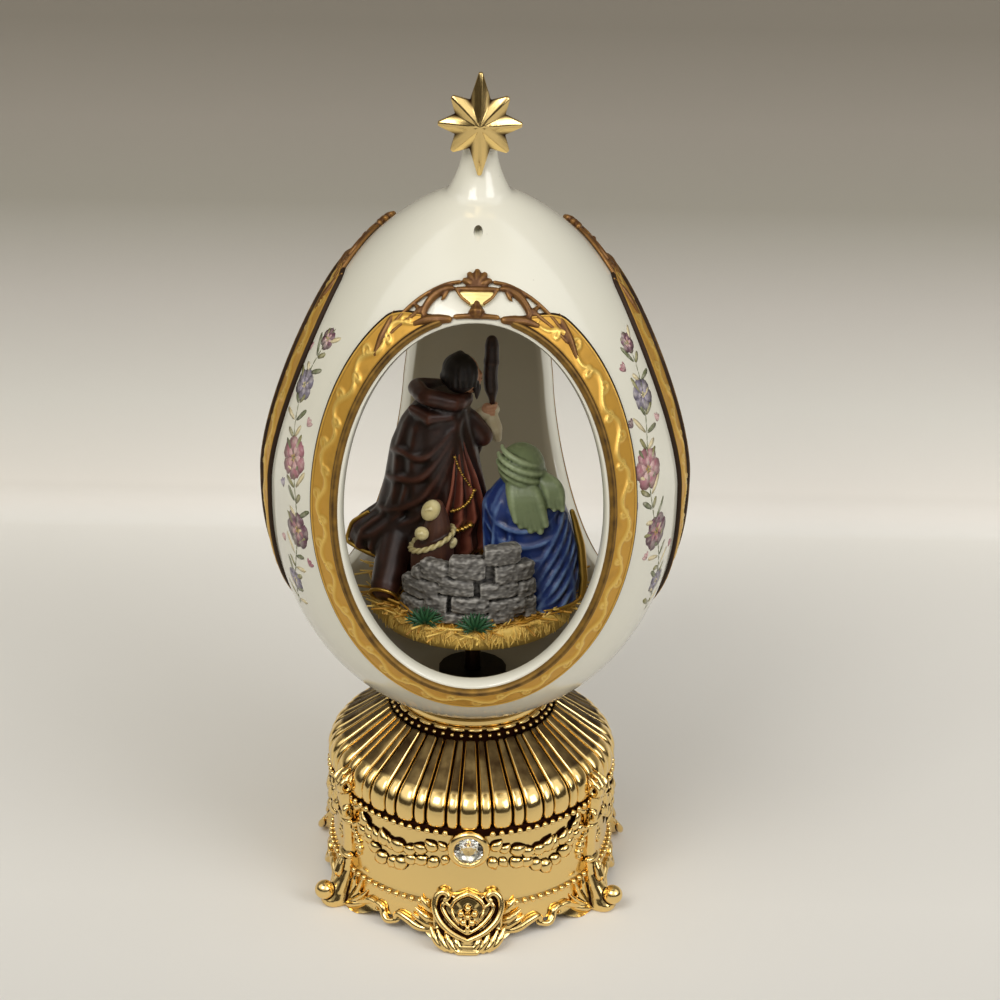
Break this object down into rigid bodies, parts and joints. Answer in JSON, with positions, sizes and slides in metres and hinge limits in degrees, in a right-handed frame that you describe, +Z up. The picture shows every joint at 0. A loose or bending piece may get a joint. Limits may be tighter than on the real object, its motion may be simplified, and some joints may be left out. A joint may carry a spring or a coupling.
{
  "type": "egg-shaped music box",
  "caption": "Porcelain egg with oval windows on a fluted gilt base; a nativity scene inside turns to a wind-up movement.",
  "frame": {"origin": "on the table, under the middle of the object's width and depth, 3.65 mm behind where the egg's axis, which is also the turntable's, meets the table", "axes": "+Z up, -Y towards the viewer, through the middle of the front window"},
  "size_m": [0.098, 0.0883, 0.2025],
  "materials": {
    "porcelain": "gloss glaze",
    "gilt_frame": "embossed gilt",
    "gold_plate": "polished gold plate, dark in the recesses",
    "crystal": "cut crystal",
    "brass": "satin",
    "steel": "satin",
    "bedplate_alloy": "as cast",
    "dark_plastic": "matte",
    "nylon": "matte",
    "dark_metal": "dark brown lacquer",
    "straw_resin": "painted resin",
    "brown_robe": "painted resin",
    "staff_wood": "painted resin",
    "blue_robe": "painted resin",
    "grey_stone": "painted resin",
    "sack_cloth": "painted resin",
    "fern_green": "painted resin",
    "manger_wood": "painted resin",
    "swaddling": "painted resin"
  },
  "bodies": {
    "frame": {"base_housing": "gold_plate", "egg_shell": "porcelain", "window_trim_front": "gilt_frame", "window_trim_right": "gilt_frame", "window_trim_left": "gilt_frame", "star_finial": "gold_plate", "bezel_front": "gold_plate", "bezel_right": "gold_plate", "bezel_left": "gold_plate", "crystal_front": "crystal", "crystal_right": "crystal", "crystal_left": "crystal", "clamp_bush": "brass", "clamp_nut": "brass", "bottom_plate": "dark_plastic", "plate_screw_1": "steel", "plate_screw_2": "steel", "plate_screw_3": "steel", "movement_screw_1": "steel", "movement_screw_2": "steel", "bedplate": "bedplate_alloy", "comb": "steel", "comb_screw_1": "steel", "comb_screw_2": "steel", "governor_bracket": "steel", "clutch_spring": "steel"},
    "turntable": {"spring_barrel": "brass", "barrel_cover": "brass", "mainspring": "steel", "turntable_shaft": "dark_metal", "turntable_hub": "dark_metal", "scene_ground": "straw_resin", "standing_figure": "brown_robe", "staff": "staff_wood", "kneeling_figure": "blue_robe", "stone_wall": "grey_stone", "provision_bundle": "sack_cloth", "fern_left": "fern_green", "fern_right": "fern_green", "manger": "manger_wood", "infant": "swaddling"},
    "music_cylinder": {"cylinder": "brass", "cylinder_pinion": "brass", "cylinder_gear": "brass"},
    "governor_gear": {"governor_wheel": "brass"},
    "governor": {"governor_worm": "steel", "governor_fan": "nylon"},
    "key": {"winding_key": "brass", "winding_arbor": "steel"}
  },
  "joints": [
    {"name": "turntable_spin", "type": "hinge", "parent": "frame", "child": "turntable", "pos_m": [0, -0.00365, 0.06], "axis": [0, 0, 1], "continuous": true},
    {"name": "cylinder_spin", "type": "hinge", "parent": "frame", "child": "music_cylinder", "pos_m": [0, -0.02165, 0.02482], "axis": [0, 1, 0], "continuous": true},
    {"name": "governor_gear_spin", "type": "hinge", "parent": "frame", "child": "governor_gear", "pos_m": [-0.01, -0.02165, 0.02482], "axis": [0, 1, 0], "continuous": true},
    {"name": "governor_spin", "type": "hinge", "parent": "frame", "child": "governor", "pos_m": [-0.01418, -0.02196, 0.02482], "axis": [0, 0, 1], "continuous": true},
    {"name": "key_turn", "type": "hinge", "parent": "frame", "child": "key", "pos_m": [0, -0.00365, 0.006], "axis": [0, 0, 1], "range_deg": [0, 1620]}
  ],
  "couplings": [
    {"joint": "cylinder_spin", "follows": "turntable_spin", "ratio": -3},
    {"joint": "governor_gear_spin", "follows": "turntable_spin", "ratio": 12},
    {"joint": "governor_spin", "follows": "turntable_spin", "ratio": -144}
  ]
}
